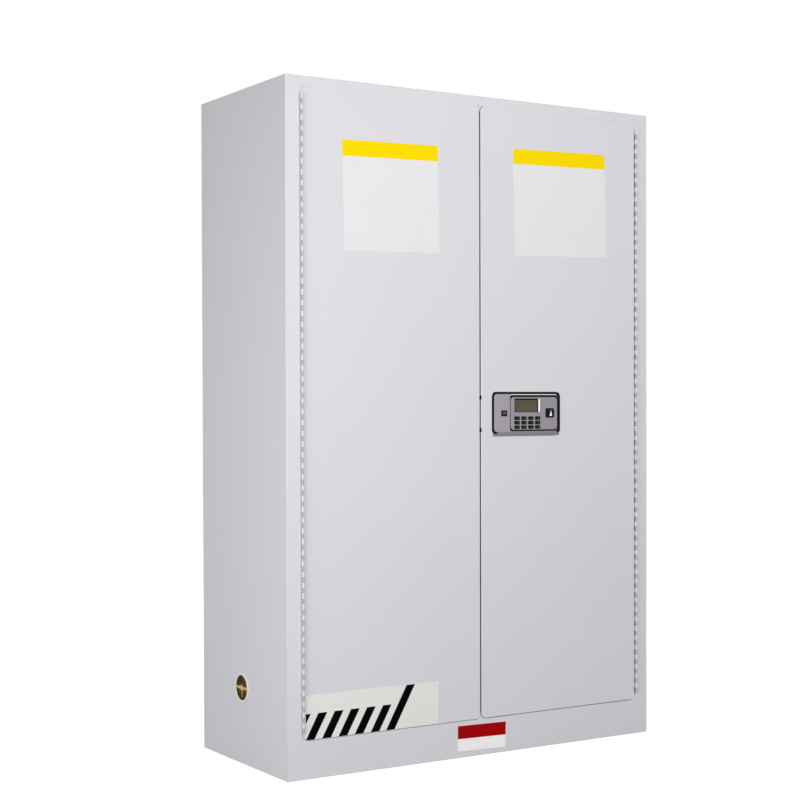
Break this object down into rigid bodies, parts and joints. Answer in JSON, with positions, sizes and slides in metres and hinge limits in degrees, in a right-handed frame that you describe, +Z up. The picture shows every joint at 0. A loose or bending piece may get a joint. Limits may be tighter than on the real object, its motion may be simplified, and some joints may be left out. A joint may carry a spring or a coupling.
{
  "type": "two-door chemical safety storage cabinet",
  "caption": "Free-standing double-wall steel cabinet with two flush hinged doors, a combination lock, side vents with flame arresters, shelves and a spill sump.",
  "frame": {"origin": "middle of the whole part's footprint, on the floor", "axes": "+Z up, -Y the front with the doors, +X the right-hand side seen from the front"},
  "size_m": [1.096, 0.474, 1.65],
  "materials": {
    "powder_coat": "light grey powder coat, slightly satin",
    "hinge_steel": "continuous hinge coated with the cabinet",
    "zinc_steel": "zinc plated",
    "seal_rubber": "black, matt",
    "collar_coat": "cream white coat",
    "brass": "cast and turned brass",
    "lock_plate": "grey, fine satin",
    "display": "dark olive display window",
    "black_plastic": "black, satin",
    "chrome": "nickel plated plug"
  },
  "bodies": {
    "carcass": {"left_side_panel": "powder_coat", "right_side_panel": "powder_coat", "roof_panel": "powder_coat", "back_panel": "powder_coat", "base_pan": "powder_coat", "plinth_panel": "powder_coat", "top_rail": "powder_coat", "left_jamb": "powder_coat", "right_jamb": "powder_coat", "left_liner": "powder_coat", "right_liner": "powder_coat", "back_liner": "powder_coat", "roof_liner": "powder_coat", "sump_tray": "powder_coat", "shelf_strips": "zinc_steel", "shelf_clips": "zinc_steel", "lower_shelf": "powder_coat", "upper_shelf": "powder_coat", "door_seal": "seal_rubber", "left_hinge_frame_leaf": "hinge_steel", "right_hinge_frame_leaf": "hinge_steel", "hinge_pins": "hinge_steel", "vent_collars": "collar_coat", "flame_arresters": "brass"},
    "left_door": {"left_door_skin": "powder_coat", "left_door_liner": "powder_coat", "left_hinge_door_leaf": "hinge_steel", "strike_plate": "zinc_steel", "flush_bolt_guides": "zinc_steel"},
    "right_door": {"right_door_skin": "powder_coat", "right_door_liner": "powder_coat", "right_hinge_door_leaf": "hinge_steel", "lock_gasket": "seal_rubber", "lock_housing": "lock_plate", "keypad_panel": "lock_plate", "display_window": "display", "lock_case": "zinc_steel"},
    "latch_knob": {"latch_knob": "black_plastic"},
    "key_cylinder": {"key_cylinder": "chrome"},
    "top_rod": {"top_rod": "zinc_steel"},
    "bottom_rod": {"bottom_rod": "zinc_steel"},
    "side_bolt": {"side_bolt": "zinc_steel"},
    "left_top_bolt": {"left_top_bolt": "zinc_steel"},
    "left_bottom_bolt": {"left_bottom_bolt": "zinc_steel"},
    "key_01": {"key_01": "black_plastic"},
    "key_02": {"key_02": "black_plastic"},
    "key_03": {"key_03": "black_plastic"},
    "key_04": {"key_04": "black_plastic"},
    "key_05": {"key_05": "black_plastic"},
    "key_06": {"key_06": "black_plastic"},
    "key_07": {"key_07": "black_plastic"},
    "key_08": {"key_08": "black_plastic"},
    "key_09": {"key_09": "black_plastic"},
    "key_10": {"key_10": "black_plastic"},
    "key_11": {"key_11": "black_plastic"},
    "key_12": {"key_12": "black_plastic"},
    "foot_front_left": {"foot_front_left": "zinc_steel"},
    "foot_front_right": {"foot_front_right": "zinc_steel"},
    "foot_back_left": {"foot_back_left": "zinc_steel"},
    "foot_back_right": {"foot_back_right": "zinc_steel"}
  },
  "joints": [
    {"name": "right_door_hinge", "type": "hinge", "parent": "carcass", "child": "right_door", "pos_m": [0.5045, -0.2278, 0.9], "axis": [0, 0, 1], "range_deg": [0, 180]},
    {"name": "left_door_hinge", "type": "hinge", "parent": "carcass", "child": "left_door", "pos_m": [-0.5045, -0.2278, 0.9], "axis": [0, 0, -1], "range_deg": [0, 180]},
    {"name": "latch_knob_turn", "type": "hinge", "parent": "right_door", "child": "latch_knob", "pos_m": [0.2155, -0.223, 0.8585], "axis": [0, 1, 0], "range_deg": [0, 90]},
    {"name": "top_rod_slide", "type": "slide", "parent": "right_door", "child": "top_rod", "axis": [0, 0, 1], "range_m": [0, 0.015]},
    {"name": "bottom_rod_slide", "type": "slide", "parent": "right_door", "child": "bottom_rod", "axis": [0, 0, -1], "range_m": [0, 0.015]},
    {"name": "side_bolt_slide", "type": "slide", "parent": "right_door", "child": "side_bolt", "axis": [-1, 0, 0], "range_m": [0, 0.015]},
    {"name": "key_cylinder_turn", "type": "hinge", "parent": "right_door", "child": "key_cylinder", "pos_m": [0.0725, -0.223, 0.8585], "axis": [0, 1, 0], "range_deg": [0, 90]},
    {"name": "left_top_bolt_slide", "type": "slide", "parent": "left_door", "child": "left_top_bolt", "axis": [0, 0, 1], "range_m": [0, 0.015]},
    {"name": "left_bottom_bolt_slide", "type": "slide", "parent": "left_door", "child": "left_bottom_bolt", "axis": [0, 0, -1], "range_m": [0, 0.015]},
    {"name": "foot_front_left_screw", "type": "slide", "parent": "carcass", "child": "foot_front_left", "axis": [0, 0, -1], "range_m": [0, 0.018]},
    {"name": "foot_front_right_screw", "type": "slide", "parent": "carcass", "child": "foot_front_right", "axis": [0, 0, -1], "range_m": [0, 0.018]},
    {"name": "foot_back_left_screw", "type": "slide", "parent": "carcass", "child": "foot_back_left", "axis": [0, 0, -1], "range_m": [0, 0.018]},
    {"name": "foot_back_right_screw", "type": "slide", "parent": "carcass", "child": "foot_back_right", "axis": [0, 0, -1], "range_m": [0, 0.018]},
    {"name": "key_01_press", "type": "slide", "parent": "right_door", "child": "key_01", "axis": [0, 1, 0], "range_m": [0, 0.001], "stiffness_N_per_m": 400},
    {"name": "key_02_press", "type": "slide", "parent": "right_door", "child": "key_02", "axis": [0, 1, 0], "range_m": [0, 0.001], "stiffness_N_per_m": 400},
    {"name": "key_03_press", "type": "slide", "parent": "right_door", "child": "key_03", "axis": [0, 1, 0], "range_m": [0, 0.001], "stiffness_N_per_m": 400},
    {"name": "key_04_press", "type": "slide", "parent": "right_door", "child": "key_04", "axis": [0, 1, 0], "range_m": [0, 0.001], "stiffness_N_per_m": 400},
    {"name": "key_05_press", "type": "slide", "parent": "right_door", "child": "key_05", "axis": [0, 1, 0], "range_m": [0, 0.001], "stiffness_N_per_m": 400},
    {"name": "key_06_press", "type": "slide", "parent": "right_door", "child": "key_06", "axis": [0, 1, 0], "range_m": [0, 0.001], "stiffness_N_per_m": 400},
    {"name": "key_07_press", "type": "slide", "parent": "right_door", "child": "key_07", "axis": [0, 1, 0], "range_m": [0, 0.001], "stiffness_N_per_m": 400},
    {"name": "key_08_press", "type": "slide", "parent": "right_door", "child": "key_08", "axis": [0, 1, 0], "range_m": [0, 0.001], "stiffness_N_per_m": 400},
    {"name": "key_09_press", "type": "slide", "parent": "right_door", "child": "key_09", "axis": [0, 1, 0], "range_m": [0, 0.001], "stiffness_N_per_m": 400},
    {"name": "key_10_press", "type": "slide", "parent": "right_door", "child": "key_10", "axis": [0, 1, 0], "range_m": [0, 0.001], "stiffness_N_per_m": 400},
    {"name": "key_11_press", "type": "slide", "parent": "right_door", "child": "key_11", "axis": [0, 1, 0], "range_m": [0, 0.001], "stiffness_N_per_m": 400},
    {"name": "key_12_press", "type": "slide", "parent": "right_door", "child": "key_12", "axis": [0, 1, 0], "range_m": [0, 0.001], "stiffness_N_per_m": 400}
  ],
  "couplings": [
    {"joint": "bottom_rod_slide", "follows": "top_rod_slide", "ratio": 1},
    {"joint": "side_bolt_slide", "follows": "top_rod_slide", "ratio": 1},
    {"joint": "latch_knob_turn", "follows": "top_rod_slide", "rad_per_m": 104.72}
  ]
}
